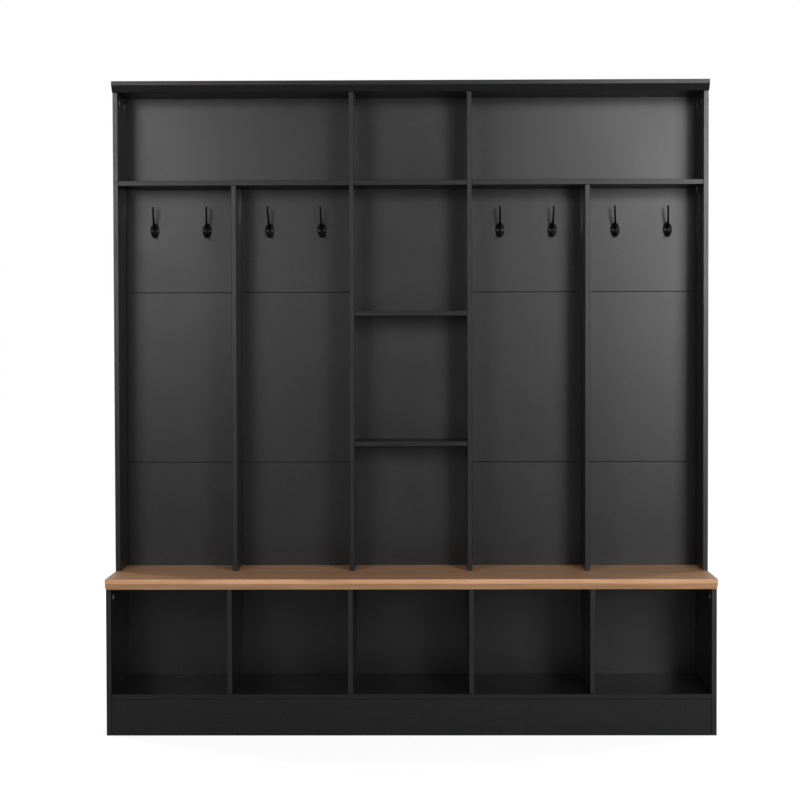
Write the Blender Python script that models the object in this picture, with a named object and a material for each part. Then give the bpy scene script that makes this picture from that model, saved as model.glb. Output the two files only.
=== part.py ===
"""Entryway storage unit: a bench with five open cubbies and a shallower hutch with coat hooks and shelves.

Metres, +Z up. X runs to the right, the front faces -Y, and the origin lies on the floor under the
middle of the unit. Every board is its own solid, and boards that touch keep a hairline gap.
"""

import math

import bmesh
import bpy
from mathutils import Matrix, Vector
from mathutils.geometry import interpolate_bezier

# Overall sizes
WIDTH = 1.800  # bench plank and crown, end to end
DEPTH = 0.400  # plank's front edge to the rear
BENCH_HEIGHT = 0.464  # floor to the top of the plank
HUTCH_RISE = 1.450  # top of the plank to the underside of the crown
COLUMNS = 5  # equal columns in the bench and in the hutch
MIDDLE = COLUMNS // 2  # the middle column, counted from 0, and the upright on its left
COAT_COLUMNS = [column for column in range(COLUMNS) if column != MIDDLE]

# Boards
BOARD = 0.015  # black melamine board
PLANK = 0.032  # bench plank and crown
PANEL = 0.003  # thin back panel
ARRIS = 0.0008  # broken edge of a board
GAP = 0.0003  # hairline between pieces that touch
SEAM = 0.001  # open joint between the boards behind the coats
GROOVE = 0.005  # depth of the grooves that hold the thin panels
END_REVEAL = 0.001  # how far the side panels stand in from the plank's ends

# Profiled front edge of the plank and the crown: an upright facet over a sloping one
EDGE_FACET = 0.013
EDGE_RECESS = 0.017

# Bench
BENCH_OVERHANG = 0.017  # plank's front edge ahead of the base
KICK_HEIGHT = 0.108

# Hutch
HUTCH_SETBACK = 0.216  # hutch behind the plank's front edge
CROWN_OVERHANG = 0.022
TOP_ROW_CLEAR = 0.266  # clear height of the top compartments
MIDDLE_SHELVES = 2
HOOK_BOARD_HEIGHT = 0.319
LOWER_BOARD_HEIGHT = 0.321

# Coat hooks
HOOK_SPREAD = 0.162  # between the two hooks of a column
HOOK_DROP = 0.128  # upper shelf's underside to a hook plate's middle
PLATE_WIDTH = 0.028
PLATE_HEIGHT = 0.045
PLATE_DOME = 0.0045  # thickness at the plate's middle
PLATE_SIDES = 24
PLATE_RING_SHARES = ((1.0, 0.0), (1.0, 0.40), (0.90, 0.58), (0.55, 0.88))  # of half size and of dome
ROD_RADIUS = 0.0021
ROD_SIDES = 8
ROD_STEPS = 9
TIP_RADIUS = 0.0027
TIP_RINGS = 4
ROD_ROOT = 0.001  # where a rod starts, inside the plate
UPPER_REACH = 0.045
UPPER_RISE = 0.068
LOWER_REACH = 0.029
LOWER_DROP = 0.0135
UPPER_BEND_SHARES = ((0.0, 0.06), (0.67, 0.18), (0.89, 0.60), (1.0, 1.0))  # of reach and of rise
LOWER_BEND_SHARES = ((0.0, 0.60), (0.60, 0.90), (1.0, 2.40), (1.0, 1.0))  # of reach and of drop

# Cam locks in the inner faces of the side panels
CAM_RADIUS = 0.0075
CAM_DEPTH = 0.0125
CAM_SIDES = 24
CAM_FROM_TOP = 0.027
CAM_FROM_FRONT = 0.050
CAM_FROM_BACK = 0.020
CROSS_LENGTH = 0.0075
CROSS_WIDTH = 0.0016
CROSS_DEPTH = 0.0020

# Anti-tip brackets under the crown, behind the top back panels
BRACKET_WIDTH = 0.060
BRACKET_DROP = 0.040
BRACKET_SEAT = 0.010
BRACKET_PLATE = 0.002
BRACKET_HOLE_RADIUS = 0.003
HOLE_SIDES = 16

CUT_OVERRUN = 0.001  # how far a cutter stands out of what it cuts
CREASE_ANGLE = math.radians(35)  # edges sharper than this stay crisp on round pieces

# Levels and planes that follow from the sizes
FRONT = -DEPTH / 2
REAR = DEPTH / 2
BACK_PLANE = REAR - BOARD  # visible face of every back
BASE_FRONT = FRONT + BENCH_OVERHANG
HUTCH_FRONT = FRONT + HUTCH_SETBACK
PLANK_UNDERSIDE = BENCH_HEIGHT - PLANK
CUBBY_FLOOR = KICK_HEIGHT + BOARD
CROWN_UNDERSIDE = BENCH_HEIGHT + HUTCH_RISE
UPPER_SHELF_TOP = CROWN_UNDERSIDE - TOP_ROW_CLEAR
UPPER_SHELF_UNDERSIDE = UPPER_SHELF_TOP - BOARD
PANEL_FRONT = BACK_PLANE + GAP
PANEL_REAR = PANEL_FRONT + PANEL
GROOVE_REAR = PANEL_REAR + GAP
HALF_SPAN = WIDTH / 2 - END_REVEAL - BOARD / 2  # middle of the unit to the middle of a side panel


def clear_scene():
    for thing in list(bpy.data.objects):
        bpy.data.objects.remove(thing, do_unlink=True)


def finish(name, colour, roughness, metallic=0.0):
    """A plain Principled material."""
    material = bpy.data.materials.new(name)
    material.use_nodes = True
    shader = material.node_tree.nodes["Principled BSDF"]
    shader.inputs["Base Color"].default_value = (*colour, 1.0)
    shader.inputs["Roughness"].default_value = roughness
    shader.inputs["Metallic"].default_value = metallic
    material.diffuse_color = (*colour, 1.0)
    return material


def upright_line(index):
    """X of the middle of an upright: 0 is the left side panel, COLUMNS the right one."""
    return HALF_SPAN * (2 * index / COLUMNS - 1)


def column_line(index):
    """X of the middle of a column."""
    return (upright_line(index) + upright_line(index + 1)) / 2


def right_face(index):
    """X of an upright's right face, with the hairline that its neighbour keeps."""
    return upright_line(index) + BOARD / 2 + GAP


def left_face(index):
    """X of an upright's left face, with the hairline that its neighbour keeps."""
    return upright_line(index) - BOARD / 2 - GAP


def add_object(name, mesh, material, parent, centre):
    """Links an object that stands at its centre and belongs to an assembly."""
    thing = bpy.data.objects.new(name, mesh)
    bpy.context.scene.collection.objects.link(thing)
    thing.location = centre
    thing.parent = parent
    if material and not mesh.materials:
        mesh.materials.append(material)
    return thing


def break_edges(thing):
    bevel = thing.modifiers.new("Broken edges", "BEVEL")
    bevel.width = ARRIS
    bevel.segments = 1
    bevel.limit_method = "ANGLE"


def board(name, low, high, material, parent, broken=True):
    """A board between two corners."""
    low = Vector(low)
    high = Vector(high)
    mesh = bpy.data.meshes.new(name)
    shape = bmesh.new()
    bmesh.ops.create_cube(shape, size=1.0, matrix=Matrix.Diagonal((*(high - low), 1.0)))
    shape.to_mesh(mesh)
    shape.free()
    thing = add_object(name, mesh, material, parent, (low + high) / 2)
    if broken:
        break_edges(thing)
    return thing


def prism(name, outline, ends, material, parent):
    """A piece with a shaped section: the outline (Y, Z) runs along X from one end to the other."""
    depths, levels = zip(*outline)
    centre = Vector((sum(ends) / 2, sum(depths) / len(depths), sum(levels) / len(levels)))
    mesh = bpy.data.meshes.new(name)
    shape = bmesh.new()
    rings = []
    for x in ends:
        rings.append([shape.verts.new(Vector((x, *point)) - centre) for point in outline])
    join_rings(shape, rings)
    shape.faces.new(rings[0])
    shape.faces.new(rings[1])
    bmesh.ops.recalc_face_normals(shape, faces=shape.faces)
    shape.to_mesh(mesh)
    shape.free()
    return add_object(name, mesh, material, parent, centre)


def cylinder_mesh(name, radius, low, high, sides):
    """A closed cylinder about local Z."""
    mesh = bpy.data.meshes.new(name)
    shape = bmesh.new()
    place = Matrix.Translation((0, 0, (low + high) / 2))
    bmesh.ops.create_cone(
        shape, cap_ends=True, segments=sides, radius1=radius, radius2=radius, depth=high - low, matrix=place
    )
    shape.to_mesh(mesh)
    shape.free()
    return mesh


def box_mesh(name, low, high):
    mesh = bpy.data.meshes.new(name)
    shape = bmesh.new()
    low = Vector(low)
    high = Vector(high)
    place = Matrix.Translation((low + high) / 2) @ Matrix.Diagonal((*(high - low), 1.0))
    bmesh.ops.create_cube(shape, size=1.0, matrix=place)
    shape.to_mesh(mesh)
    shape.free()
    return mesh


def helper(name, mesh, parent=None, centre=(0, 0, 0)):
    """An object that only shapes others, hidden from renders."""
    thing = add_object(name, mesh, None, parent, centre)
    thing.hide_render = True
    thing.display_type = "WIRE"
    return thing


def combine(thing, other, operation):
    change = thing.modifiers.new(other.name, "BOOLEAN")
    change.operation = operation
    change.solver = "EXACT"
    change.object = other


def applied_mesh(thing, helpers, name):
    """The mesh of an object with its modifiers applied; the object and its helpers are removed."""
    graph = bpy.context.evaluated_depsgraph_get()
    mesh = bpy.data.meshes.new_from_object(thing.evaluated_get(graph))
    mesh.name = name
    for spent in (thing, *helpers):
        bpy.data.objects.remove(spent, do_unlink=True)
    return mesh


def round_shading(mesh):
    mesh.shade_smooth()
    mesh.set_sharp_from_angle(angle=CREASE_ANGLE)


def profiled_outline(front, top):
    """Section (Y, Z) of the plank or the crown, from its front edge to the rear."""
    underside = top - PLANK
    return [
        (front, top),
        (front, top - EDGE_FACET),
        (front + EDGE_RECESS, underside),
        (REAR, underside),
        (REAR, top),
    ]


def cut_groove(panel, index, side, bottom, top):
    """Routes the groove that holds a thin back panel; side is -1 for the left face, 1 for the right."""
    face = upright_line(index) + side * BOARD / 2
    edges = sorted((face - side * GROOVE, face + side * CUT_OVERRUN))
    low = (edges[0], BACK_PLANE, bottom - CUT_OVERRUN)
    high = (edges[1], GROOVE_REAR, top + CUT_OVERRUN)
    name = f"groove_{panel.name}_{'left' if side < 0 else 'right'}"
    combine(panel, helper(name, box_mesh(name, low, high), panel.parent), "DIFFERENCE")


def upright(name, index, depth, levels, material, parent, groove_sides=()):
    """An upright board on one of the column lines, grooved in the faces that hold thin panels."""
    low = (upright_line(index) - BOARD / 2, depth[0], levels[0])
    high = (upright_line(index) + BOARD / 2, depth[1], levels[1])
    panel = board(name, low, high, material, parent)
    for side in groove_sides:
        cut_groove(panel, index, side, *levels)
    return panel


def build_bench(parent, black, brown, thin_board):
    """Plank, side panels, dividers, cubby floor, plinth and thin backs."""
    ends = (-WIDTH / 2, WIDTH / 2)
    break_edges(prism("bench_top", profiled_outline(FRONT, BENCH_HEIGHT), ends, brown, parent))

    full_depth = (BASE_FRONT, REAR)
    side_levels = (0, PLANK_UNDERSIDE - GAP)
    upright("base_side_left", 0, full_depth, side_levels, black, parent, groove_sides=(1,))
    upright("base_side_right", COLUMNS, full_depth, side_levels, black, parent, groove_sides=(-1,))

    inner_left = right_face(0)
    inner_right = left_face(COLUMNS)
    floor_low = (inner_left, BASE_FRONT, KICK_HEIGHT + GAP)
    floor_high = (inner_right, REAR, CUBBY_FLOOR)
    board("cubby_floor", floor_low, floor_high, black, parent)

    kick_rear = BASE_FRONT + BOARD
    rail_front = REAR - BOARD
    board("kick_board", (inner_left, BASE_FRONT, 0), (inner_right, kick_rear, KICK_HEIGHT), black, parent)
    board("rear_plinth_rail", (inner_left, rail_front, 0), (inner_right, REAR, KICK_HEIGHT), black, parent)
    brace_depth = (kick_rear + GAP, rail_front - GAP)
    for index, side in ((MIDDLE, "left"), (MIDDLE + 1, "right")):
        upright(f"plinth_brace_{side}", index, brace_depth, (0, KICK_HEIGHT), black, parent)

    divider_depth = (BASE_FRONT, BACK_PLANE)
    divider_levels = (CUBBY_FLOOR + GAP, PLANK_UNDERSIDE - GAP)
    for index in range(1, COLUMNS):
        upright(f"base_divider_{index}", index, divider_depth, divider_levels, black, parent)

    meeting = (upright_line(MIDDLE), upright_line(MIDDLE + 1))
    spans = {
        "left": (inner_left - GROOVE, meeting[0] - GAP),
        "center": (meeting[0] + GAP, meeting[1] - GAP),
        "right": (meeting[1] + GAP, inner_right + GROOVE),
    }
    for side, (start, end) in spans.items():
        low = (start, PANEL_FRONT, CUBBY_FLOOR + GAP)
        high = (end, PANEL_REAR, PLANK_UNDERSIDE - GAP)
        board(f"base_back_panel_{side}", low, high, thin_board, parent, broken=False)


def build_hutch_frame(parent, black):
    """Crown, side panels, dividers and shelves."""
    crown_front = HUTCH_FRONT - CROWN_OVERHANG
    crown_top = CROWN_UNDERSIDE + PLANK
    ends = (-WIDTH / 2, WIDTH / 2)
    break_edges(prism("crown_top", profiled_outline(crown_front, crown_top), ends, black, parent))

    depth = (HUTCH_FRONT, REAR)
    tall_levels = (BENCH_HEIGHT + GAP, CROWN_UNDERSIDE - GAP)
    short_levels = (BENCH_HEIGHT + GAP, UPPER_SHELF_UNDERSIDE - GAP)
    upright("hutch_side_left", 0, depth, tall_levels, black, parent, groove_sides=(1,))
    upright("inner_divider_left", MIDDLE, depth, tall_levels, black, parent, groove_sides=(-1, 1))
    upright("inner_divider_right", MIDDLE + 1, depth, tall_levels, black, parent, groove_sides=(-1, 1))
    upright("hutch_side_right", COLUMNS, depth, tall_levels, black, parent, groove_sides=(-1,))
    upright("outer_divider_left", 1, depth, short_levels, black, parent)
    upright("outer_divider_right", COLUMNS - 1, depth, short_levels, black, parent)

    lengths = {
        "left": (0, MIDDLE, REAR),
        "center": (MIDDLE, MIDDLE + 1, BACK_PLANE),
        "right": (MIDDLE + 1, COLUMNS, REAR),
    }
    for side, (first, last, rear) in lengths.items():
        low = (right_face(first), HUTCH_FRONT, UPPER_SHELF_UNDERSIDE)
        high = (left_face(last), rear, UPPER_SHELF_TOP)
        board(f"upper_shelf_{side}", low, high, black, parent)

    open_height = UPPER_SHELF_UNDERSIDE - BENCH_HEIGHT
    bay = (open_height - MIDDLE_SHELVES * BOARD) / (MIDDLE_SHELVES + 1)
    for number in range(1, MIDDLE_SHELVES + 1):
        underside = BENCH_HEIGHT + number * bay + (number - 1) * BOARD
        low = (right_face(MIDDLE), HUTCH_FRONT, underside)
        high = (left_face(MIDDLE + 1), BACK_PLANE, underside + BOARD)
        board(f"middle_shelf_{number}", low, high, black, parent)


def build_hutch_backs(parent, black, thin_board):
    """Three flush boards behind each pair of hooks, and thin panels elsewhere."""
    hook_board_low = UPPER_SHELF_UNDERSIDE - GAP - HOOK_BOARD_HEIGHT
    lower_board_high = BENCH_HEIGHT + GAP + LOWER_BOARD_HEIGHT
    levels = {
        "hook_board": (hook_board_low, UPPER_SHELF_UNDERSIDE - GAP),
        "middle_back_board": (lower_board_high + SEAM, hook_board_low - SEAM),
        "lower_back_board": (BENCH_HEIGHT + GAP, lower_board_high),
    }
    for number, column in enumerate(COAT_COLUMNS, start=1):
        for kind, (bottom, top) in levels.items():
            low = (right_face(column), BACK_PLANE, bottom)
            high = (left_face(column + 1), REAR, top)
            board(f"{kind}_{number}", low, high, black, parent)

    thin = {
        "top_back_panel_left": (0, MIDDLE, UPPER_SHELF_TOP),
        "top_back_panel_right": (MIDDLE + 1, COLUMNS, UPPER_SHELF_TOP),
        "center_back_panel": (MIDDLE, MIDDLE + 1, BENCH_HEIGHT),
    }
    for name, (first, last, level) in thin.items():
        low = (right_face(first) - GROOVE, PANEL_FRONT, level + GAP)
        high = (left_face(last) + GROOVE, PANEL_REAR, CROWN_UNDERSIDE - GAP)
        board(name, low, high, thin_board, parent, broken=False)


def oval_plate(name):
    """Domed oval plate with its flat back at y = 0, as a helper object."""
    mesh = bpy.data.meshes.new(name)
    shape = bmesh.new()
    rings = []
    for size_share, dome_share in PLATE_RING_SHARES:
        ring = []
        for side in range(PLATE_SIDES):
            angle = math.tau * side / PLATE_SIDES
            x = math.cos(angle) * size_share * PLATE_WIDTH / 2
            z = math.sin(angle) * size_share * PLATE_HEIGHT / 2
            ring.append(shape.verts.new((x, -dome_share * PLATE_DOME, z)))
        rings.append(ring)
    join_rings(shape, rings)
    crown = shape.verts.new((0, -PLATE_DOME, 0))
    close_with_point(shape, rings[-1], crown)
    shape.faces.new(rings[0])
    bmesh.ops.recalc_face_normals(shape, faces=shape.faces)
    shape.to_mesh(mesh)
    shape.free()
    return helper(name, mesh)


def join_rings(shape, rings):
    for ring, following in zip(rings, rings[1:]):
        for index in range(len(ring)):
            after = (index + 1) % len(ring)
            shape.faces.new((ring[index], ring[after], following[after], following[index]))


def close_with_point(shape, ring, point):
    for index in range(len(ring)):
        after = (index + 1) % len(ring)
        shape.faces.new((ring[index], ring[after], point))


def bent_rod(name, bend_shares, reach, rise):
    """A round rod with a ball tip, bent in the plane x = 0, as a helper object."""
    corners = [Vector((0, -ROD_ROOT - out * reach, up * rise)) for out, up in bend_shares]
    path = interpolate_bezier(*corners, ROD_STEPS)
    across = Vector((1, 0, 0))
    directions = [corners[1] - corners[0]]
    directions += [after - before for before, after in zip(path, path[2:])]
    directions += [corners[3] - corners[2]]
    sections = [(point, way.normalized(), ROD_RADIUS) for point, way in zip(path, directions)]

    neck = path[-1]
    way = sections[-1][1]
    start = math.asin(ROD_RADIUS / TIP_RADIUS)
    for step in range(1, TIP_RINGS):
        angle = start + (math.pi - start) * step / TIP_RINGS
        forward = TIP_RADIUS * (math.cos(start) - math.cos(angle))
        sections.append((neck + way * forward, way, TIP_RADIUS * math.sin(angle)))
    pole = neck + way * TIP_RADIUS * (math.cos(start) + 1)

    mesh = bpy.data.meshes.new(name)
    shape = bmesh.new()
    rings = []
    for point, way, radius in sections:
        upward = way.cross(across)
        ring = []
        for side in range(ROD_SIDES):
            angle = math.tau * side / ROD_SIDES
            offset = across * math.cos(angle) + upward * math.sin(angle)
            ring.append(shape.verts.new(point + offset * radius))
        rings.append(ring)
    join_rings(shape, rings)
    close_with_point(shape, rings[-1], shape.verts.new(pole))
    shape.faces.new(rings[0])
    bmesh.ops.recalc_face_normals(shape, faces=shape.faces)
    shape.to_mesh(mesh)
    shape.free()
    return helper(name, mesh)


def build_hooks(parent, metal):
    """Eight double hooks: an oval plate with a long upper prong and a short lower one."""
    plate = oval_plate("plate")
    upper = bent_rod("upper_prong", UPPER_BEND_SHARES, UPPER_REACH, UPPER_RISE)
    lower = bent_rod("lower_prong", LOWER_BEND_SHARES, LOWER_REACH, -LOWER_DROP)
    combine(plate, upper, "UNION")
    combine(plate, lower, "UNION")
    hook_mesh = applied_mesh(plate, (upper, lower), "coat_hook")
    hook_mesh.materials.clear()
    round_shading(hook_mesh)

    level = UPPER_SHELF_UNDERSIDE - HOOK_DROP
    number = 0
    for column in COAT_COLUMNS:
        for side in (-1, 1):
            number += 1
            centre = (column_line(column) + side * HOOK_SPREAD / 2, BACK_PLANE - GAP, level)
            add_object(f"coat_hook_{number}", hook_mesh, metal, parent, centre)


def cam_mesh():
    """A cam lock about local Z, its head at z = 0 with a cross recess."""
    blank = helper("cam", cylinder_mesh("cam", CAM_RADIUS, -CAM_DEPTH, 0, CAM_SIDES))
    half_length = CROSS_LENGTH / 2
    half_width = CROSS_WIDTH / 2
    slots = []
    for x, y in ((half_length, half_width), (half_width, half_length)):
        slot = box_mesh("slot", (-x, -y, -CROSS_DEPTH), (x, y, CUT_OVERRUN))
        slots.append(helper("slot", slot))
        combine(blank, slots[-1], "DIFFERENCE")
    mesh = applied_mesh(blank, slots, "cam_lock")
    round_shading(mesh)
    return mesh


def fit_cams(panel_name, cam_name, mesh, material, index, places):
    """Sinks cam locks into the inner face of a side panel."""
    panel = bpy.data.objects[panel_name]
    inward = 1 if index == 0 else -1
    face = upright_line(index) + inward * BOARD / 2
    turn = (0, inward * math.pi / 2, 0)
    for place, (y, z) in places.items():
        bore_mesh = cylinder_mesh(
            "cam_bore", CAM_RADIUS + GAP, -CAM_DEPTH - 2 * GAP, CUT_OVERRUN, CAM_SIDES
        )
        bore = helper(f"bore_{cam_name}_{place}", bore_mesh, panel.parent, (face, y, z))
        bore.rotation_euler = turn
        combine(panel, bore, "DIFFERENCE")
        centre = (face - inward * GAP, y, z)
        cam = add_object(f"cam_lock_{cam_name}_{place}", mesh, material, panel.parent, centre)
        cam.rotation_euler = turn


def build_cams(zinc):
    mesh = cam_mesh()
    hutch_level = CROWN_UNDERSIDE - CAM_FROM_TOP
    bench_level = PLANK_UNDERSIDE - CAM_FROM_TOP
    rear = BACK_PLANE - CAM_FROM_BACK
    hutch = {"front": (HUTCH_FRONT + CAM_FROM_FRONT, hutch_level), "rear": (rear, hutch_level)}
    bench = {"front": (BASE_FRONT + CAM_FROM_FRONT, bench_level), "rear": (rear, bench_level)}
    for side, index in (("left", 0), ("right", COLUMNS)):
        fit_cams(f"hutch_side_{side}", f"hutch_{side}", mesh, zinc, index, hutch)
        fit_cams(f"base_side_{side}", f"base_{side}", mesh, zinc, index, bench)


def build_brackets(parent, steel):
    """Two steel angles under the crown that fasten the unit to the wall."""
    top = CROWN_UNDERSIDE - GAP
    outline = [
        (REAR, top),
        (REAR - BRACKET_SEAT, top),
        (REAR - BRACKET_SEAT, top - BRACKET_PLATE),
        (REAR - BRACKET_PLATE, top - BRACKET_PLATE),
        (REAR - BRACKET_PLATE, top - BRACKET_DROP),
        (REAR, top - BRACKET_DROP),
    ]
    hole_level = top - BRACKET_DROP / 2
    for side, index in (("left", 1), ("right", COLUMNS - 1)):
        x = upright_line(index)
        ends = (x - BRACKET_WIDTH / 2, x + BRACKET_WIDTH / 2)
        angle = prism(f"wall_bracket_{side}", outline, ends, steel, parent)
        hole_mesh = cylinder_mesh("hole", BRACKET_HOLE_RADIUS, -BRACKET_SEAT, BRACKET_SEAT, HOLE_SIDES)
        hole = helper(f"hole_{side}", hole_mesh, parent, (x, REAR, hole_level))
        hole.rotation_euler = (math.pi / 2, 0, 0)
        combine(angle, hole, "DIFFERENCE")


def build_unit():
    clear_scene()
    black = finish("black_melamine", (0.030, 0.030, 0.031), 0.42)
    brown = finish("brown_wood_laminate", (0.270, 0.165, 0.105), 0.40)
    thin_board = finish("black_back_panel", (0.032, 0.032, 0.033), 0.50)
    metal = finish("black_hook_metal", (0.012, 0.012, 0.012), 0.35, 0.6)
    zinc = finish("zinc_cam", (0.55, 0.55, 0.54), 0.35, 1.0)
    steel = finish("plated_bracket_steel", (0.50, 0.50, 0.50), 0.40, 1.0)

    bench = bpy.data.objects.new("bench_assembly", None)
    hutch = bpy.data.objects.new("hutch_assembly", None)
    for assembly in (bench, hutch):
        bpy.context.scene.collection.objects.link(assembly)

    build_bench(bench, black, brown, thin_board)
    build_hutch_frame(hutch, black)
    build_hutch_backs(hutch, black, thin_board)
    build_hooks(hutch, metal)
    build_brackets(hutch, steel)
    build_cams(zinc)


build_unit()
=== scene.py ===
"""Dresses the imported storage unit: finishes, finer hooks, fixings, floor, light and camera.

Metres, +Z up. The unit's front faces -Y and its rear stands at Y = 0.2.
"""

import math

import bpy
from mathutils import Euler, Matrix, Vector


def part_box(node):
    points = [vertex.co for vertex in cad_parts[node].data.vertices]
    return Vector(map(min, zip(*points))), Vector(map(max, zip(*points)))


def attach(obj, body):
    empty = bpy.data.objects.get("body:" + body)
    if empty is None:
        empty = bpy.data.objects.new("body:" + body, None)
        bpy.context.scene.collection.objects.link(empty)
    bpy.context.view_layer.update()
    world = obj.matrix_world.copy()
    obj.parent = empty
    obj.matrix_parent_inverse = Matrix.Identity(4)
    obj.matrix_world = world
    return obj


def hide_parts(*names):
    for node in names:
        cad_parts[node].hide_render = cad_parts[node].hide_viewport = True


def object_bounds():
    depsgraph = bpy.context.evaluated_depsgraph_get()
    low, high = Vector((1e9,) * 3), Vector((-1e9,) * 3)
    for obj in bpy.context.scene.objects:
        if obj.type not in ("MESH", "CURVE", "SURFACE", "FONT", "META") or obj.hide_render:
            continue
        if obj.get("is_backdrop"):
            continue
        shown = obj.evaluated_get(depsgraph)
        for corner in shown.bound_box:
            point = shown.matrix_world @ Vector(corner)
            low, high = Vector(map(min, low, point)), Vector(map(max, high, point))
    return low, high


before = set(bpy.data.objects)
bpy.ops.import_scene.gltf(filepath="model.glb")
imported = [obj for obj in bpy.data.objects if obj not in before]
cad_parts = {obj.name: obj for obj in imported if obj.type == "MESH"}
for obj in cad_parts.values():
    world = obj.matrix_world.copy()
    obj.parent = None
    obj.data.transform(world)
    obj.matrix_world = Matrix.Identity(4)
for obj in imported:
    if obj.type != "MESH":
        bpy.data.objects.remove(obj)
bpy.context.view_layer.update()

# Coat hooks: the solids' sizes, with slightly fuller rods and tips
PLATE_WIDTH = 0.028
PLATE_HEIGHT = 0.045
PLATE_DOME = 0.0045
PLATE_RIM = 0.24  # share of the dome's height that is left at the rim
# Dome between its middle and its rim: shares of the radius and of the height
PLATE_PROFILE = ((0.45, 0.975), (0.68, 0.90), (0.80, 0.78), (0.90, 0.58), (0.97, 0.36))
PLATE_MERGE = 0.00001  # points closer than this are joined
ROD_RADIUS = 0.0027
ROD_ROOT = 0.001  # rods' start ahead of the board
ROOT_SWELL = 1.35  # a rod's thickness at its root, over the thickness farther out
ROOT_LENGTH = 0.014  # where the swelling ends
TIP_RADIUS = 0.0032
TIP_LIFT = 0.62  # tip ball's middle above the rod's end, over the ball's radius
UPPER_REACH = 0.045
UPPER_RISE = 0.0672
LOWER_REACH = 0.029
LOWER_DROP = 0.0135
# Each prong's curve: its ends and their handles, as shares of reach and of rise or drop
UPPER_BEND = ((0.0, 0.06), (0.67, 0.18), (0.89, 0.60), (1.0, 1.0))
LOWER_BEND = ((0.0, 0.60), (0.60, 0.90), (1.0, 2.40), (1.0, 1.0))

HOOKS = [f"coat_hook_{number}" for number in range(1, 9)]
# Hooks are screwed on by hand, so each one leans a little: degrees, to the right seen from the front
HOOK_LEANS = (0.0, 2.0, -3.0, -2.5, -0.5, 2.5, -4.0, -2.5)

# Screws
HOOK_SCREW_SPREAD = 0.0176  # between the two screws of a plate
HOOK_SCREW_SEAT = 0.0030  # heads' seat ahead of the board
BRACKET_SCREW_SPREAD = 0.36  # either side of a bracket's middle, as a share of its width
BRACKET_SCREW_PLACE = 0.0045  # behind the bracket's front edge
BRACKET_LEAF = 0.002  # thickness of the leaf under the crown, with the heads below it
HEAD_FULLNESS = 0.55  # a smaller power keeps a head's dome full nearer its rim
HEAD_MERGE = 0.000005  # points closer than this are joined
RECESS_WING = 0.24  # a recess's width over its length
SHANK_SINK = 0.45  # shank's middle below the head's seat, over the shank's length

# Panel pins
PIN_SPACING = 0.070
PIN_ROW_OFFSET = 0.0045  # a row's distance from the middle of a divider where two panels meet
PIN_END_DIVIDER = 0.02  # a row's end from the divider's end
PIN_END_SHELF = 0.03

# Seams
SEAM_DEPTH = 0.0022  # black cord's middle behind the boards' front; the cord is painted shade in the seam
HAIRLINE = 0.0003  # between boards that touch
GROOVE = 0.0047
# How far each thin panel's left and right ends reach into an upright
PANEL_GROOVES = {
    "base_back_panel_left": (GROOVE, 0.0),
    "base_back_panel_center": (0.0, 0.0),
    "base_back_panel_right": (0.0, GROOVE),
    "top_back_panel_left": (GROOVE, GROOVE),
    "top_back_panel_right": (GROOVE, GROOVE),
    "center_back_panel": (GROOVE, GROOVE),
}

SHARP_ANGLE = math.radians(32)  # edges sharper than this stay crisp

# Colours, linear
MELAMINE_DARK = (0.0066, 0.0066, 0.0072, 1)
MELAMINE_LIGHT = (0.0108, 0.0108, 0.0117, 1)
MELAMINE_PORES = (0.0035, 0.0035, 0.0039, 1)
FOIL_DARK = (0.0074, 0.0074, 0.0083, 1)
FOIL_LIGHT = (0.0116, 0.0116, 0.0130, 1)
RAW_BOARD_DARK = (0.145, 0.082, 0.043, 1)
RAW_BOARD_LIGHT = (0.235, 0.145, 0.082, 1)
WOOD_DARK = (0.505, 0.240, 0.107, 1)
WOOD_MIDDLE = (0.646, 0.335, 0.164, 1)
WOOD_WARM = (0.750, 0.410, 0.211, 1)
WOOD_LIGHT = (0.826, 0.473, 0.254, 1)
WOOD_STREAKS = (0.497, 0.248, 0.122, 1)
WOOD_BANDS = (0.830, 0.512, 0.302, 1)
WOOD_PORES = (0.243, 0.114, 0.053, 1)
HOOK_PAINT_DARK = (0.0014, 0.0014, 0.0015, 1)
HOOK_PAINT_LIGHT = (0.0030, 0.0030, 0.0032, 1)
OXIDE_DARK = (0.110, 0.110, 0.112, 1)
OXIDE_LIGHT = (0.180, 0.180, 0.183, 1)
ZINC_DARK = (0.62, 0.62, 0.61, 1)
ZINC_LIGHT = (0.78, 0.78, 0.76, 1)
STEEL_DARK = (0.48, 0.48, 0.47, 1)
STEEL_LIGHT = (0.62, 0.62, 0.60, 1)
FLOOR_GREY = (0.45, 0.45, 0.45, 1)
WHITE = (1, 1, 1, 1)

# Floor, and the glow that makes it white for the camera
FLOOR_REACH = 30.0  # from its middle to its edge
GLOW_NEAR = 0.81  # glow's strength near the unit; far away it is 1
GLOW_NEAR_END = 1.1  # from the floor's middle, where the glow starts to grow
GLOW_FAR_START = 2.6  # from the floor's middle, where it is 1
GLOW_IN_GLOSS = 0.15  # share of the glow that gloss shows

# World
AMBIENT = 0.03  # its plain light on the unit
BACKDROP_IN_GLOSS = 0.6  # brightness in gloss of the backdrop behind the unit
BACKDROP_START = 0.05  # how far rearward a reflection must point to show the backdrop
BACKDROP_FULL = 0.45  # and to show all of its brightness

# Camera: its place in metres, lens in millimetres and angles in degrees
CAMERA_PLACE = (0.04354, -6.32382, 1.17763)
CAMERA_LENS = 94.261
CAMERA_SENSOR = 36.0
CAMERA_DIP = 1.7534
CAMERA_TURN = 0.6902
CAMERA_ROLL = -0.1494


# Node tree helpers

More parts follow.
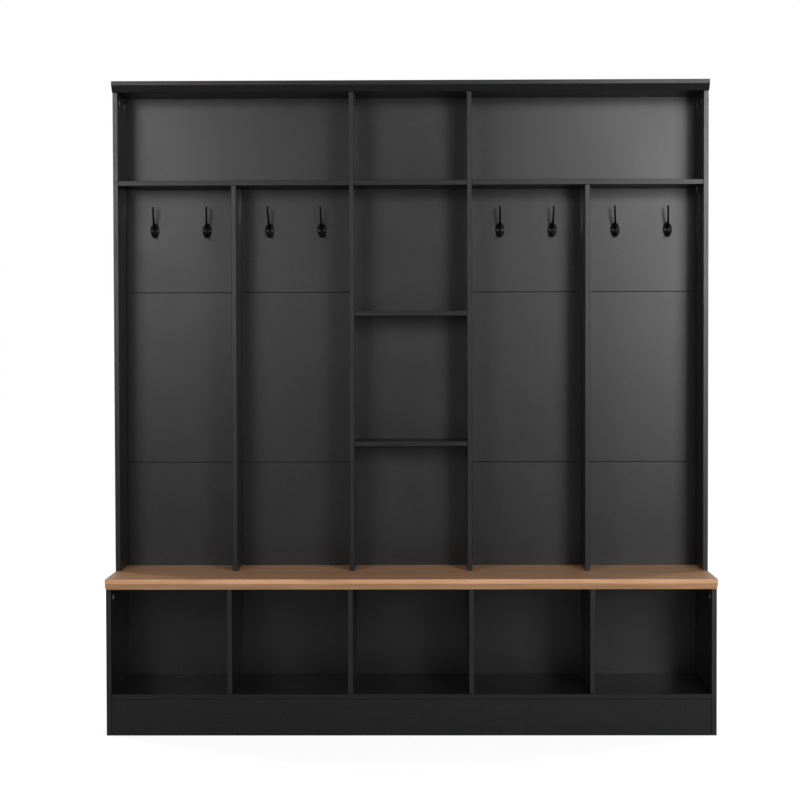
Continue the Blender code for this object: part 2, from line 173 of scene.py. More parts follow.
def add_node(tree, kind, inputs=None, **settings):
    """Adds a node; inputs are values or sockets, keyed by socket name or number."""
    node = tree.nodes.new(kind)
    for name, value in settings.items():
        setattr(node, name, value)
    for key, value in (inputs or {}).items():
        if isinstance(value, bpy.types.NodeSocket):
            tree.links.new(value, node.inputs[key])
        else:
            node.inputs[key].default_value = value
    return node


def output_of(tree, kind, inputs=None, **settings):
    """Adds a node and gives its first output."""
    return add_node(tree, kind, inputs, **settings).outputs[0]


def new_group(name, kind, inputs, outputs):
    """A node group with named sockets; returns the tree and the sockets that give its inputs."""
    tree = bpy.data.node_groups.new(name, kind)
    for socket_name, socket_type, value in inputs:
        socket = tree.interface.new_socket(socket_name, in_out="INPUT", socket_type=socket_type)
        if value is not None:
            socket.default_value = value
    for socket_name, socket_type in outputs:
        tree.interface.new_socket(socket_name, in_out="OUTPUT", socket_type=socket_type)
    return tree, tree.nodes.new("NodeGroupInput").outputs


def maths(tree, operation, first, second=0.0, third=0.0):
    return output_of(tree, "ShaderNodeMath", {0: first, 1: second, 2: third}, operation=operation)


def times(tree, first, second):
    return maths(tree, "MULTIPLY", first, second)


def vector_maths(tree, operation, first, second):
    return output_of(tree, "ShaderNodeVectorMath", {0: first, 1: second}, operation=operation)


def ranged(tree, value, low, high, to_low=0.0, to_high=1.0):
    """A value's change of range, held between the range's ends."""
    return output_of(tree, "ShaderNodeMapRange", {0: value, 1: low, 2: high, 3: to_low, 4: to_high})


def noise(tree, vector, scale, detail, roughness, distortion=0.0):
    return add_node(tree, "ShaderNodeTexNoise", {
        "Vector": vector, "Scale": scale, "Detail": detail, "Roughness": roughness,
        "Distortion": distortion}).outputs["Fac"]


def mixed(tree, share, first, second):
    """Colour mix; its sockets go by number, because other kinds of mix have the same names."""
    return add_node(tree, "ShaderNodeMix", {0: share, 6: first, 7: second}, data_type="RGBA").outputs[2]


def combined(tree, x, y, z):
    return output_of(tree, "ShaderNodeCombineXYZ", {0: x, 1: y, 2: z})


def separated(tree, vector):
    return add_node(tree, "ShaderNodeSeparateXYZ", {0: vector}).outputs


# Shader groups: what several finishes share

def board_grain_group():
    """Pressed or printed wood grain that runs along the vector's Z."""
    tree, given = new_group(
        "Board grain", "ShaderNodeTree",
        [("Vector", "NodeSocketVector", None), ("Across", "NodeSocketFloat", 220.0),
         ("Stretch", "NodeSocketFloat", 14.0), ("Waviness", "NodeSocketFloat", 0.3)],
        [("Grain", "NodeSocketFloat"), ("Pores", "NodeSocketFloat"), ("Bands", "NodeSocketFloat")])
    shrink = maths(tree, "DIVIDE", 1.0, given["Stretch"])
    stretched = vector_maths(tree, "MULTIPLY", given["Vector"], combined(tree, 1.0, 1.0, shrink))
    grain = noise(tree, stretched, given["Across"], detail=5.0, roughness=0.62, distortion=given["Waviness"])
    ticks = noise(tree, stretched, times(tree, given["Across"], 3.2), detail=2.0, roughness=0.5)
    bands = noise(tree, stretched, times(tree, given["Across"], 0.16), detail=3.0, roughness=0.55,
                  distortion=0.6)
    add_node(tree, "NodeGroupOutput", {
        "Grain": ranged(tree, grain, 0.30, 0.70),
        "Pores": ranged(tree, ticks, 0.60, 0.74),
        "Bands": ranged(tree, bands, 0.34, 0.66),
    })
    return tree


def handling_group():
    """Cloudy marks that hands and cloths leave on a satin face."""
    tree, given = new_group(
        "Handling marks", "ShaderNodeTree",
        [("Vector", "NodeSocketVector", None), ("Scale", "NodeSocketFloat", 5.0)],
        [("Cloud", "NodeSocketFloat")])
    cloud = noise(tree, given["Vector"], given["Scale"], detail=3.0, roughness=0.55, distortion=0.4)
    add_node(tree, "NodeGroupOutput", {"Cloud": ranged(tree, cloud, 0.35, 0.65)})
    return tree


def cast_skin_group():
    """Fine pitted skin of cast, painted or plated metal."""
    tree, given = new_group(
        "Cast skin", "ShaderNodeTree",
        [("Vector", "NodeSocketVector", None), ("Scale", "NodeSocketFloat", 900.0)],
        [("Height", "NodeSocketFloat"), ("Wear", "NodeSocketFloat")])
    peel = noise(tree, given["Vector"], given["Scale"], detail=2.0, roughness=0.5)
    cells = add_node(tree, "ShaderNodeTexVoronoi", {
        "Vector": given["Vector"], "Scale": times(tree, given["Scale"], 0.7)}).outputs["Distance"]
    wear = noise(tree, given["Vector"], times(tree, given["Scale"], 0.12), detail=4.0, roughness=0.65)
    add_node(tree, "NodeGroupOutput", {
        "Height": maths(tree, "ADD", peel, times(tree, cells, 0.4)),
        "Wear": ranged(tree, wear, 0.50, 0.68),
    })
    return tree


BOARD_GRAIN = board_grain_group()
HANDLING = handling_group()
CAST_SKIN = cast_skin_group()


# Finishes

def new_finish(name, roughness, metallic=0.0, shine=0.5):
    """A material with its Principled shader, and the object's own coordinates and normal."""
    material = bpy.data.materials.new(name)
    material.use_nodes = True
    tree = material.node_tree
    shader = tree.nodes["Principled BSDF"]
    shader.inputs["Roughness"].default_value = roughness
    shader.inputs["Metallic"].default_value = metallic
    shader.inputs["Specular IOR Level"].default_value = shine
    place = tree.nodes.new("ShaderNodeTexCoord").outputs
    return material, tree, shader, place


def from_group(tree, group, vector, **values):
    """Places a shader group with its own values, and gives its outputs."""
    return add_node(tree, "ShaderNodeGroup", {"Vector": vector, **values}, node_tree=group).outputs


def turned_lengthwise(tree, vector):
    """Coordinates whose Z runs along a lengthwise board's grain."""
    return output_of(tree, "ShaderNodeMapping", {"Vector": vector, "Rotation": (0.0, -math.pi / 2, 0.0)})


def overlaid(tree, tone, mask, share, colour):
    """A colour over a tone, as much as a mask and a share say."""
    return mixed(tree, times(tree, mask, share), tone, colour)


def satin(tree, shader, place, roughness, spread, mask, rise):
    """Gloss that handling clouds a little, and that is duller where the mask says."""
    cloud = from_group(tree, HANDLING, place["Object"])["Cloud"]
    gloss = ranged(tree, cloud, 0.0, 1.0, roughness - spread, roughness + spread)
    tree.links.new(maths(tree, "ADD", gloss, times(tree, mask, rise)), shader.inputs["Roughness"])


def bump(tree, shader, height, distance, strength=0.5):
    normal = output_of(tree, "ShaderNodeBump", {"Height": height, "Distance": distance, "Strength": strength})
    tree.links.new(normal, shader.inputs["Normal"])


def black_melamine(name, lengthwise, roughness, shine):
    """Satin black melamine with a pressed grain that runs upright or lengthwise."""
    material, tree, shader, place = new_finish(name, roughness, shine=shine)
    along = turned_lengthwise(tree, place["Object"]) if lengthwise else place["Object"]
    grain = from_group(tree, BOARD_GRAIN, along, Across=260.0, Stretch=18.0)
    tone = mixed(tree, grain["Grain"], MELAMINE_DARK, MELAMINE_LIGHT)
    tone = overlaid(tree, tone, grain["Pores"], 0.40, MELAMINE_PORES)
    tree.links.new(tone, shader.inputs["Base Color"])
    satin(tree, shader, place, roughness, spread=0.02, mask=grain["Pores"], rise=0.12)
    height = maths(tree, "SUBTRACT", grain["Grain"], grain["Pores"])
    bump(tree, shader, height, distance=0.00008, strength=0.6)
    return material


def black_back_panel():
    """Thin fibreboard: black foil in front, raw brown board behind."""
    roughness = 0.35
    material, tree, shader, place = new_finish("black_back_panel", roughness)
    grain = from_group(tree, BOARD_GRAIN, place["Object"], Across=340.0, Stretch=10.0)
    foil = mixed(tree, grain["Grain"], FOIL_DARK, FOIL_LIGHT)
    fibres = noise(tree, place["Object"], 620.0, detail=4.0, roughness=0.7, distortion=1.2)
    raw = mixed(tree, ranged(tree, fibres, 0.35, 0.65), RAW_BOARD_DARK, RAW_BOARD_LIGHT)
    behind = maths(tree, "GREATER_THAN", separated(tree, place["Normal"])["Y"], 0.5)
    tree.links.new(mixed(tree, behind, foil, raw), shader.inputs["Base Color"])
    satin(tree, shader, place, roughness, spread=0.02, mask=behind, rise=0.40)
    bump(tree, shader, grain["Grain"], distance=0.00006)
    return material


def brown_laminate():
    """Printed wood laminate whose long grain runs along the plank."""
    roughness = 0.44
    material, tree, shader, place = new_finish("brown_wood_laminate", roughness, shine=0.55)
    along = turned_lengthwise(tree, place["Object"])
    fine = from_group(tree, BOARD_GRAIN, along, Across=150.0, Stretch=26.0, Waviness=0.5)
    broad = from_group(tree, BOARD_GRAIN, along, Across=42.0, Stretch=15.0, Waviness=1.1)
    figure = add_node(tree, "ShaderNodeValToRGB", {0: broad["Grain"]})
    stops = figure.color_ramp.elements  # a new ramp has its two ends
    stops[0].color = WOOD_DARK
    stops[1].color = WOOD_LIGHT
    stops.new(0.38).color = WOOD_MIDDLE
    stops.new(0.66).color = WOOD_WARM
    tone = overlaid(tree, figure.outputs["Color"], fine["Grain"], 0.30, WOOD_STREAKS)
    tone = overlaid(tree, tone, broad["Bands"], 0.25, WOOD_BANDS)
    tone = overlaid(tree, tone, fine["Pores"], 0.45, WOOD_PORES)
    tree.links.new(tone, shader.inputs["Base Color"])
    satin(tree, shader, place, roughness, spread=0.03, mask=fine["Pores"], rise=0.15)
    height = maths(tree, "SUBTRACT", fine["Grain"], times(tree, fine["Pores"], 1.5))
    bump(tree, shader, height, distance=0.00006)
    return material


def metal_finish(name, dark, light, roughness, metallic, scale=900.0, depth=0.00004, shine=0.5):
    """Cast, painted or plated metal: a fine skin, with its wear a little lighter."""
    material, tree, shader, place = new_finish(name, roughness, metallic, shine)
    skin = from_group(tree, CAST_SKIN, place["Object"], Scale=scale)
    tree.links.new(mixed(tree, skin["Wear"], dark, light), shader.inputs["Base Color"])
    gloss = ranged(tree, skin["Wear"], 0.0, 1.0, roughness - 0.05, roughness + 0.07)
    tree.links.new(gloss, shader.inputs["Roughness"])
    bump(tree, shader, skin["Height"], depth)
    return material


UPRIGHT_BLACK = black_melamine("black_melamine_upright", lengthwise=False, roughness=0.33, shine=0.45)
FLAT_BLACK = black_melamine("black_melamine_lengthwise", lengthwise=True, roughness=0.35, shine=0.36)
BACK_BLACK = black_melamine("black_melamine_backs", lengthwise=False, roughness=0.35, shine=0.50)
BACK_PANEL = black_back_panel()
BROWN_TOP = brown_laminate()
HOOK_BLACK = metal_finish("black_hook_paint", HOOK_PAINT_DARK, HOOK_PAINT_LIGHT, roughness=0.50,
                          metallic=0.0, scale=560.0, depth=0.00010, shine=0.11)
SCREW_BLACK = metal_finish("black_oxide_screw", OXIDE_DARK, OXIDE_LIGHT, roughness=0.34, metallic=1.0)
ZINC = metal_finish("zinc_cam", ZINC_DARK, ZINC_LIGHT, roughness=0.48, metallic=0.15, scale=1400.0)
PLATED = metal_finish("plated_bracket_steel", STEEL_DARK, STEEL_LIGHT, roughness=0.34, metallic=1.0,
                      scale=700.0)

BEHIND_COATS = ("hook_board", "middle_back_board", "lower_back_board")
LENGTHWISE = ("crown_top", "upper_shelf", "middle_shelf", "cubby_floor", "kick_board", "rear_plinth_rail")


def finish_for(name):
    if name == "bench_top":
        return BROWN_TOP
    if "back_panel" in name:
        return BACK_PANEL
    if name.startswith("cam_lock"):
        return ZINC
    if name.startswith("wall_bracket"):
        return PLATED
    if name.startswith("coat_hook"):
        return HOOK_BLACK
    if name.startswith(BEHIND_COATS):
        return BACK_BLACK
    return FLAT_BLACK if name.startswith(LENGTHWISE) else UPRIGHT_BLACK


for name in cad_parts:
    for slot in bpy.data.objects[name].material_slots:
        slot.material = finish_for(name)


# Geometry trees: coat hooks, screws, pins, and black cords that paint shade into the seams

def moved(tree, geometry, translation=(0, 0, 0), rotation=(0, 0, 0), scale=(1, 1, 1)):
    return output_of(tree, "GeometryNodeTransform", {
        "Geometry": geometry, "Translation": translation, "Rotation": rotation, "Scale": scale})


def reshaped(tree, geometry, position):
    return output_of(tree, "GeometryNodeSetPosition", {"Geometry": geometry, "Position": position})


def merged(tree, geometry, distance):
    return output_of(tree, "GeometryNodeMergeByDistance", {"Geometry": geometry, "Distance": distance})


def ball(tree, segments, rings, radius=1.0):
    return output_of(tree, "GeometryNodeMeshUVSphere", {
        "Segments": segments, "Rings": rings, "Radius": radius})


def circle(tree, resolution, radius=1.0):
    return output_of(tree, "GeometryNodeCurvePrimitiveCircle", {"Resolution": resolution, "Radius": radius})


def position_parts(tree):
    """Each point's own X, Y and Z."""
    return separated(tree, output_of(tree, "GeometryNodeInputPosition"))


def fused(tree, *meshes):
    """One closed skin round meshes that overlap."""
    node = add_node(tree, "GeometryNodeMeshBoolean", operation="UNION", solver="EXACT")
    for mesh in meshes:
        tree.links.new(mesh, node.inputs["Mesh 2"])
    return node.outputs["Mesh"]


def cut(tree, mesh, *cutters):
    node = add_node(tree, "GeometryNodeMeshBoolean", {"Mesh 1": mesh}, operation="DIFFERENCE", solver="EXACT")
    for cutter in cutters:
        tree.links.new(cutter, node.inputs["Mesh 2"])
    return node.outputs["Mesh"]


def about_axis(tree, axis, angle):
    return output_of(tree, "FunctionNodeAxisAngleToRotation", {"Axis": axis, "Angle": angle})


def on_points(tree, points, instance, rotation):
    return output_of(tree, "GeometryNodeInstanceOnPoints", {
        "Points": points, "Instance": instance, "Rotation": rotation})


def end_tree(tree, geometry, finish, output):
    """Ends a tree: its instances made real, in their finish."""
    real = output_of(tree, "GeometryNodeRealizeInstances", {"Geometry": geometry})
    dressed = output_of(tree, "GeometryNodeSetMaterial", {"Geometry": real, "Material": finish})
    add_node(tree, "NodeGroupOutput", {output: dressed})


def prong(tree, given, bend, reach, rise):
    """A round rod along one curve, thicker at its root, with a small ball at its tip."""
    corners = []
    for out, up in bend:
        ahead = maths(tree, "MULTIPLY_ADD", reach, -out, -ROD_ROOT)
        corners.append(combined(tree, 0.0, ahead, times(tree, rise, up)))
    path = output_of(tree, "GeometryNodeCurvePrimitiveBezierSegment", {
        "Resolution": 22, "Start": corners[0], "Start Handle": corners[1],
        "End Handle": corners[2], "End": corners[3]}, mode="POSITION")
    along = add_node(tree, "GeometryNodeSplineParameter").outputs["Length"]
    swell = ranged(tree, along, 0.0, ROOT_LENGTH, ROOT_SWELL, 1.0)
    rod = output_of(tree, "GeometryNodeCurveToMesh", {
        "Curve": path, "Profile Curve": circle(tree, 20), "Fill Caps": True,
        "Scale": times(tree, given["Rod Radius"], swell)})
    lift = combined(tree, 0.0, 0.0, times(tree, given["Tip Radius"], TIP_LIFT))
    tip = moved(tree, ball(tree, 20, 12, given["Tip Radius"]), vector_maths(tree, "ADD", corners[3], lift))
    return rod, tip


def hook_plate(tree, given):
    """A round button, domed by height over its radius, then pressed to the oval."""
    parts = position_parts(tree)
    squares = maths(tree, "ADD", times(tree, parts["X"], parts["X"]), times(tree, parts["Z"], parts["Z"]))
    dome = add_node(tree, "ShaderNodeFloatCurve", {"Value": maths(tree, "SQRT", squares)})
    profile = dome.mapping.curves[0].points
    profile[0].location = (0.0, 1.0)
    profile[1].location = (1.0, PLATE_RIM)
    for out, high in PLATE_PROFILE:
        profile.new(out, high)
    dome.mapping.update()
    ahead = maths(tree, "LESS_THAN", parts["Y"], 0.0)
    height = times(tree, times(tree, dome.outputs[0], ahead), given["Plate Dome"])
    oval = combined(
        tree, times(tree, parts["X"], times(tree, given["Plate Width"], 0.5)),
        times(tree, height, -1.0),
        times(tree, parts["Z"], times(tree, given["Plate Height"], 0.5)))
    button = moved(tree, ball(tree, 48, 24), rotation=(math.pi / 2, 0, 0))
    return merged(tree, reshaped(tree, button, oval), PLATE_MERGE)


def coat_hook_tree():
    """A double coat hook: a domed oval plate, a long upper prong and a short lower one, on each point."""
    tree, given = new_group(
        "Double coat hooks", "GeometryNodeTree",
        [("Places", "NodeSocketGeometry", None), ("Plate Width", "NodeSocketFloat", PLATE_WIDTH),
         ("Plate Height", "NodeSocketFloat", PLATE_HEIGHT), ("Plate Dome", "NodeSocketFloat", PLATE_DOME),
         ("Rod Radius", "NodeSocketFloat", ROD_RADIUS), ("Tip Radius", "NodeSocketFloat", TIP_RADIUS),
         ("Upper Reach", "NodeSocketFloat", UPPER_REACH), ("Upper Rise", "NodeSocketFloat", UPPER_RISE),
         ("Lower Reach", "NodeSocketFloat", LOWER_REACH), ("Lower Drop", "NodeSocketFloat", LOWER_DROP),
         ("Finish", "NodeSocketMaterial", None)],
        [("Hooks", "NodeSocketGeometry")])
    drop = times(tree, given["Lower Drop"], -1.0)
    upper = prong(tree, given, UPPER_BEND, given["Upper Reach"], given["Upper Rise"])
    lower = prong(tree, given, LOWER_BEND, given["Lower Reach"], drop)
    hook = fused(tree, hook_plate(tree, given), *upper, *lower)
    lean = output_of(tree, "GeometryNodeInputNamedAttribute", {"Name": "lean"}, data_type="FLOAT")
    hooks = on_points(tree, given["Places"], hook, about_axis(tree, (0, 1, 0), lean))
    end_tree(tree, hooks, given["Finish"], "Hooks")
    return tree


def screw_tree():
    """A pan-head screw with a cross recess on each point, each turned by its own amount."""
    tree, given = new_group(
        "Cross-head screws", "GeometryNodeTree",
        [("Places", "NodeSocketGeometry", None), ("Head Radius", "NodeSocketFloat", 0.003),
         ("Head Height", "NodeSocketFloat", 0.0017), ("Shank Radius", "NodeSocketFloat", 0.0015),
         ("Shank Length", "NodeSocketFloat", 0.002), ("Recess", "NodeSocketFloat", 0.0034),
         ("Facing", "NodeSocketRotation", None), ("Seed", "NodeSocketInt", 3),
         ("Finish", "NodeSocketMaterial", None)],
        [("Screws", "NodeSocketGeometry")])
    # A pan head is flat below and its dome is full near the rim
    parts = position_parts(tree)
    dome = maths(tree, "POWER", maths(tree, "MAXIMUM", parts["Z"], 0.0), HEAD_FULLNESS)
    head = reshaped(tree, ball(tree, 24, 16), combined(
        tree, times(tree, parts["X"], given["Head Radius"]),
        times(tree, parts["Y"], given["Head Radius"]),
        times(tree, dome, given["Head Height"])))
    head = merged(tree, head, HEAD_MERGE)
    shank = output_of(tree, "GeometryNodeMeshCylinder", {
        "Vertices": 16, "Radius": given["Shank Radius"], "Depth": given["Shank Length"]})
    shank = moved(tree, shank, combined(tree, 0.0, 0.0, times(tree, given["Shank Length"], -SHANK_SINK)))
    wing = times(tree, given["Recess"], RECESS_WING)
    slots = []
    for length, width in ((given["Recess"], wing), (wing, given["Recess"])):
        size = combined(tree, length, width, given["Head Height"])
        slot = output_of(tree, "GeometryNodeMeshCube", {"Size": size})
        slots.append(moved(tree, slot, combined(tree, 0.0, 0.0, given["Head Height"])))
    screw = cut(tree, fused(tree, head, shank), *slots)
    # A random angle from zero, input 2, to half a turn, input 3
    spin = add_node(tree, "FunctionNodeRandomValue", {3: math.pi, "Seed": given["Seed"]}, data_type="FLOAT")
    turn = output_of(tree, "FunctionNodeRotateRotation", {
        "Rotation": given["Facing"], "Rotate By": about_axis(tree, (0, 0, 1), spin.outputs[1])},
        rotation_space="LOCAL")
    end_tree(tree, on_points(tree, given["Places"], screw, turn), given["Finish"], "Screws")
    return tree


def pin_tree():
    """Domed pin heads at an even spacing along the edges that are given."""
    tree, given = new_group(
        "Panel pins", "GeometryNodeTree",
        [("Lines", "NodeSocketGeometry", None), ("Spacing", "NodeSocketFloat", PIN_SPACING),
         ("Head Radius", "NodeSocketFloat", 0.0024), ("Head Height", "NodeSocketFloat", 0.0009),
         ("Facing", "NodeSocketRotation", None), ("Finish", "NodeSocketMaterial", None)],
        [("Pins", "NodeSocketGeometry")])
    runs = output_of(tree, "GeometryNodeMeshToCurve", {"Mesh": given["Lines"]})
    spots = output_of(tree, "GeometryNodeCurveToPoints", {"Curve": runs, "Length": given["Spacing"]},
                      mode="LENGTH")
    size = combined(tree, given["Head Radius"], given["Head Radius"], given["Head Height"])
    pins = on_points(tree, spots, moved(tree, ball(tree, 12, 8), scale=size), given["Facing"])
    end_tree(tree, pins, given["Finish"], "Pins")
    return tree


def shade_bead_tree():
    """A round black cord along each line: painted shade that makes a seam read dark and keeps light from
    showing through it.
    """
    tree, given = new_group(
        "Seam beads", "GeometryNodeTree",
        [("Lines", "NodeSocketGeometry", None), ("Radius", "NodeSocketFloat", 0.0005),
         ("Finish", "NodeSocketMaterial", None)],
        [("Beads", "NodeSocketGeometry")])
    runs = output_of(tree, "GeometryNodeMeshToCurve", {"Mesh": given["Lines"]})
    beads = output_of(tree, "GeometryNodeCurveToMesh", {
        "Curve": runs, "Profile Curve": circle(tree, 12, given["Radius"]), "Fill Caps": True})
    end_tree(tree, beads, given["Finish"], "Beads")
    return tree


def placed(name, data):
    """A new object in the scene."""
    thing = bpy.data.objects.new(name, data)
    bpy.context.scene.collection.objects.link(thing)
    return thing


def grown(name, tree, points, edges=(), leans=(), **values):
    """Runs a geometry tree on points and edges, and keeps its result as a plain piece."""
    mesh = bpy.data.meshes.new(name)
    mesh.from_pydata([tuple(point) for point in points], list(edges), [])
    if leans:
        mesh.attributes.new("lean", "FLOAT", "POINT").data.foreach_set("value", leans)
    seed = placed(name + "_places", mesh)
    change = seed.modifiers.new(tree.name, "NODES")
    change.node_group = tree
    for item in tree.interface.items_tree:
        key = item.name.replace(" ", "_").lower()
        if item.item_type == "SOCKET" and item.in_out == "INPUT" and key in values:
            change[item.identifier] = values[key]
    seed.update_tag()
    graph = bpy.context.evaluated_depsgraph_get()
    made = bpy.data.meshes.new_from_object(seed.evaluated_get(graph))
    made.name = name
    seed.modifiers.remove(change)
    bpy.data.objects.remove(seed)
    made.shade_smooth()
    made.set_sharp_from_angle(angle=SHARP_ANGLE)
    return placed(name, made)


def line_mesh(lines):
    """Points and edges of separate straight lines."""
    points = [point for line in lines for point in line]
    edges = [(start, start + 1) for start in range(0, len(points), 2)]
    return points, edges


SCREWS = screw_tree()
FACING_FRONT = Euler((math.pi / 2, 0, 0))
FACING_REAR = Euler((-math.pi / 2, 0, 0))
FACING_DOWN = Euler((math.pi, 0, 0))

hook_places = []
for name in HOOKS:
    low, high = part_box(name)
    middle = high.z - UPPER_RISE - TIP_RADIUS * (1 + TIP_LIFT)
    hook_places.append(Vector(((low.x + high.x) / 2, high.y, middle)))

leans = [math.radians(lean) for lean in HOOK_LEANS]
coat_hooks = grown("coat_hooks", coat_hook_tree(), hook_places, leans=leans, finish=HOOK_BLACK)
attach(coat_hooks, "root")
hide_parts(*HOOKS)

screw_places = []
for hook_place, lean in zip(hook_places, leans):
    for side in (-1, 1):
        offset = Vector((side * HOOK_SCREW_SPREAD / 2, -HOOK_SCREW_SEAT, 0))
        screw_places.append(hook_place + Matrix.Rotation(lean, 3, "Y") @ offset)
hook_screws = grown("hook_screws", SCREWS, screw_places, facing=FACING_FRONT, finish=SCREW_BLACK)
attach(hook_screws, "root")

bracket_places = []
for name in ("wall_bracket_left", "wall_bracket_right"):
    low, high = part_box(name)
    for share in (-BRACKET_SCREW_SPREAD, BRACKET_SCREW_SPREAD):
        x = (low.x + high.x) / 2 + share * (high.x - low.x)
        bracket_places.append(Vector((x, low.y + BRACKET_SCREW_PLACE, high.z - BRACKET_LEAF)))
bracket_screws = grown("bracket_screws", SCREWS, bracket_places, facing=FACING_DOWN, finish=PLATED, seed=7)
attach(bracket_screws, "root")


def pin_lines():
    """Rows of pins where the thin panels are nailed to dividers and shelves."""
    lines = []
    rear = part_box("base_back_panel_center")[1].y
    for number in range(1, 5):
        low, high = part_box(f"base_divider_{number}")
        offsets = (-PIN_ROW_OFFSET, PIN_ROW_OFFSET) if number in (2, 3) else (0.0,)
        for offset in offsets:
            x = (low.x + high.x) / 2 + offset
            lines.append(((x, rear, low.z + PIN_END_DIVIDER), (x, rear, high.z - PIN_END_DIVIDER)))
    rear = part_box("center_back_panel")[1].y
    for name in ("middle_shelf_1", "middle_shelf_2", "upper_shelf_center"):
        low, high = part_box(name)
        z = (low.z + high.z) / 2
        lines.append(((low.x + PIN_END_SHELF, rear, z), (high.x - PIN_END_SHELF, rear, z)))
    return lines


panel_pins = grown("panel_pins", pin_tree(), *line_mesh(pin_lines()), facing=FACING_REAR, finish=PLATED)
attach(panel_pins, "root")


def board_seam_lines():
    """The open seams between the boards behind the coats, and the hairlines above and below them."""
    lines = []
    for number in range(1, 5):
        low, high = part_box(f"middle_back_board_{number}")
        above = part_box(f"hook_board_{number}")
        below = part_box(f"lower_back_board_{number}")
        y = low.y + SEAM_DEPTH
        seams = ((high.z + above[0].z) / 2, (low.z + below[1].z) / 2)
        hairlines = (above[1].z + HAIRLINE / 2, below[0].z - HAIRLINE / 2)
        for z in (*seams, *hairlines):
            lines.append(((low.x, y, z), (high.x, y, z)))
    return lines


def panel_seam_lines():
    """The hairlines along the thin panels' rear edges, between the grooves that hold their ends."""
    lines = []
    for name, (left_groove, right_groove) in PANEL_GROOVES.items():
        low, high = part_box(name)
        for z in (low.z - HAIRLINE / 2, high.z + HAIRLINE / 2):
            lines.append(((low.x + left_groove, high.y, z), (high.x - right_groove, high.y, z)))
    low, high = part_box("base_back_panel_center")
    for x in (low.x - HAIRLINE, high.x + HAIRLINE):
        lines.append(((x, high.y, low.z), (x, high.y, high.z)))
    return lines


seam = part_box("hook_board_1")[0].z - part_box("middle_back_board_1")[1].z
seam_lines = board_seam_lines() + panel_seam_lines()
# The seams and hairlines get black cords: painted shade that makes each gap read dark and stops light showing
# through it
seam_beads = grown("seam_beads", shade_bead_tree(), *line_mesh(seam_lines), radius=seam / 2, finish=BACK_PANEL)
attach(seam_beads, "root")


# Floor, light and camera

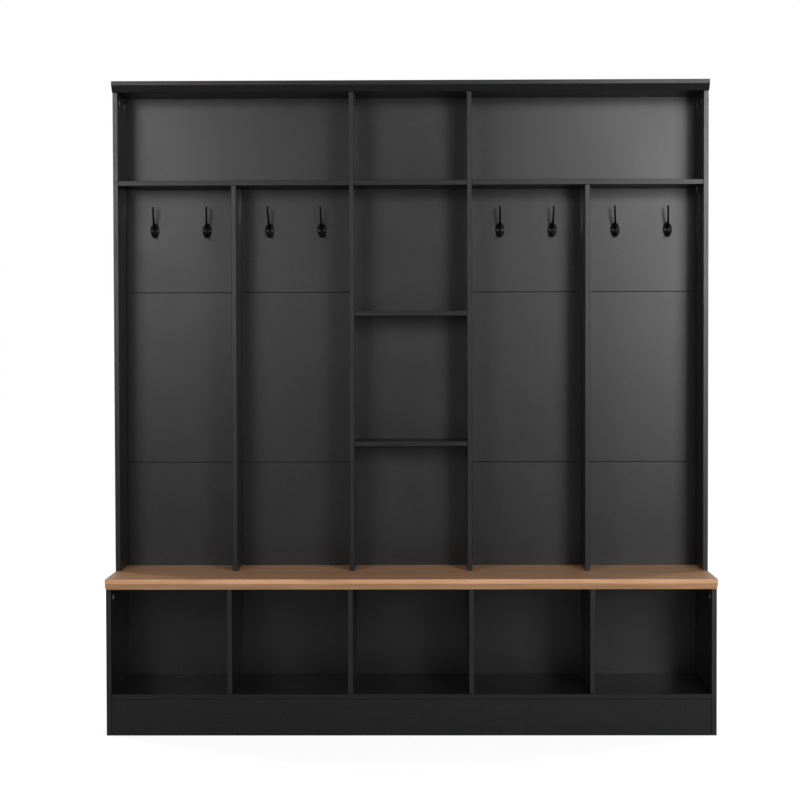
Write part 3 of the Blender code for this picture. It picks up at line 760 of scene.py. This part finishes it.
def white_floor():
    """Pale floor: white for the camera, with the unit's shadow near the unit."""
    corners = [(x * FLOOR_REACH, y * FLOOR_REACH, 0) for x, y in ((-1, -1), (1, -1), (1, 1), (-1, 1))]
    mesh = bpy.data.meshes.new("studio_floor")
    mesh.from_pydata(corners, [], [(0, 1, 2, 3)])
    material, tree, shader, place = new_finish("pale_floor", roughness=0.9, shine=0.0)
    shader.inputs["Base Color"].default_value = FLOOR_GREY
    path = add_node(tree, "ShaderNodeLightPath").outputs
    seen = maths(tree, "MAXIMUM", path["Is Camera Ray"], path["Is Transmission Ray"])
    seen = maths(tree, "MAXIMUM", seen, times(tree, path["Is Glossy Ray"], GLOW_IN_GLOSS))
    # The lamps light the floor less and less away from the unit, so it glows more there
    away = add_node(tree, "ShaderNodeVectorMath", {0: place["Object"]}, operation="LENGTH").outputs["Value"]
    level = ranged(tree, away, GLOW_NEAR_END, GLOW_FAR_START, GLOW_NEAR, 1.0)
    glow = output_of(tree, "ShaderNodeEmission", {"Strength": times(tree, seen, level)})
    both = output_of(tree, "ShaderNodeAddShader", {0: shader.outputs[0], 1: glow})
    tree.links.new(both, tree.nodes["Material Output"].inputs["Surface"])
    mesh.materials.append(material)
    floor = placed("studio_floor", mesh)
    floor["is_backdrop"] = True


def white_world():
    """White behind everything; in gloss, only the backdrop behind the unit shows, and less bright."""
    world = bpy.data.worlds.new("studio")
    bpy.context.scene.world = world
    world.use_nodes = True
    tree = world.node_tree
    path = add_node(tree, "ShaderNodeLightPath").outputs
    seen = maths(tree, "MAXIMUM", path["Is Camera Ray"], path["Is Transmission Ray"])
    rearward = separated(tree, tree.nodes.new("ShaderNodeTexCoord").outputs["Generated"])["Y"]
    backdrop = ranged(tree, rearward, BACKDROP_START, BACKDROP_FULL, 0.0, BACKDROP_IN_GLOSS)
    backdrop = times(tree, path["Is Glossy Ray"], backdrop)
    strength = ranged(tree, maths(tree, "MAXIMUM", seen, backdrop), 0.0, 1.0, AMBIENT, 1.0)
    back = tree.nodes["Background"]
    back.inputs["Color"].default_value = WHITE
    tree.links.new(strength, back.inputs["Strength"])


def softbox(side, place, target, size, watts):
    """A soft lamp that faces its target and that the camera doesn't see."""
    name = "softbox_" + side
    lamp = bpy.data.lights.new(name, "AREA")
    lamp.shape = "RECTANGLE"
    lamp.size, lamp.size_y = size
    lamp.energy = watts
    thing = placed(name, lamp)
    thing.location = place
    thing.rotation_euler = (Vector(target) - Vector(place)).to_track_quat("-Z", "Y").to_euler()
    thing.visible_camera = False


def camera():
    shot = bpy.data.cameras.new("camera")
    shot.sensor_width = CAMERA_SENSOR
    shot.lens = CAMERA_LENS
    thing = placed("camera", shot)
    heading = Euler((math.radians(90 - CAMERA_DIP), 0, math.radians(CAMERA_TURN))).to_matrix()
    roll = Matrix.Rotation(math.radians(CAMERA_ROLL), 3, "Z")
    thing.matrix_world = Matrix.Translation(CAMERA_PLACE) @ (heading @ roll).to_4x4()
    bpy.context.scene.camera = thing


white_floor()
white_world()
softbox("left", place=(-2.10, -4.4, 2.28), target=(-0.70, 0.185, 1.0), size=(1.20, 1.10), watts=53.0)
softbox("left_low", place=(-1.40, -4.4, 1.45), target=(-0.40, 0.185, 1.0), size=(0.80, 0.80), watts=9.0)
softbox("right", place=(2.14, -4.4, 1.76), target=(0.70, 0.185, 1.0), size=(1.20, 1.80), watts=97.0)
softbox("right_high", place=(1.48, -4.4, 2.66), target=(0.50, 0.185, 1.4), size=(0.90, 0.90), watts=29.0)
softbox("top", place=(-1.20, -2.60, 4.20), target=(-0.60, 0.10, 1.0), size=(1.60, 1.20), watts=6.0)
softbox("rear", place=(0.0, 4.40, 2.40), target=(0.0, 0.20, 1.1), size=(2.20, 1.40), watts=110.0)
softbox("left_side", place=(-3.60, 2.00, 1.90), target=(-0.90, 0.10, 1.0), size=(1.20, 1.60), watts=55.0)
softbox("right_side", place=(3.60, 2.00, 1.90), target=(0.90, 0.10, 1.0), size=(1.20, 1.60), watts=55.0)
camera()
bpy.context.scene.view_settings.view_transform = "Standard"

low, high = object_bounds()
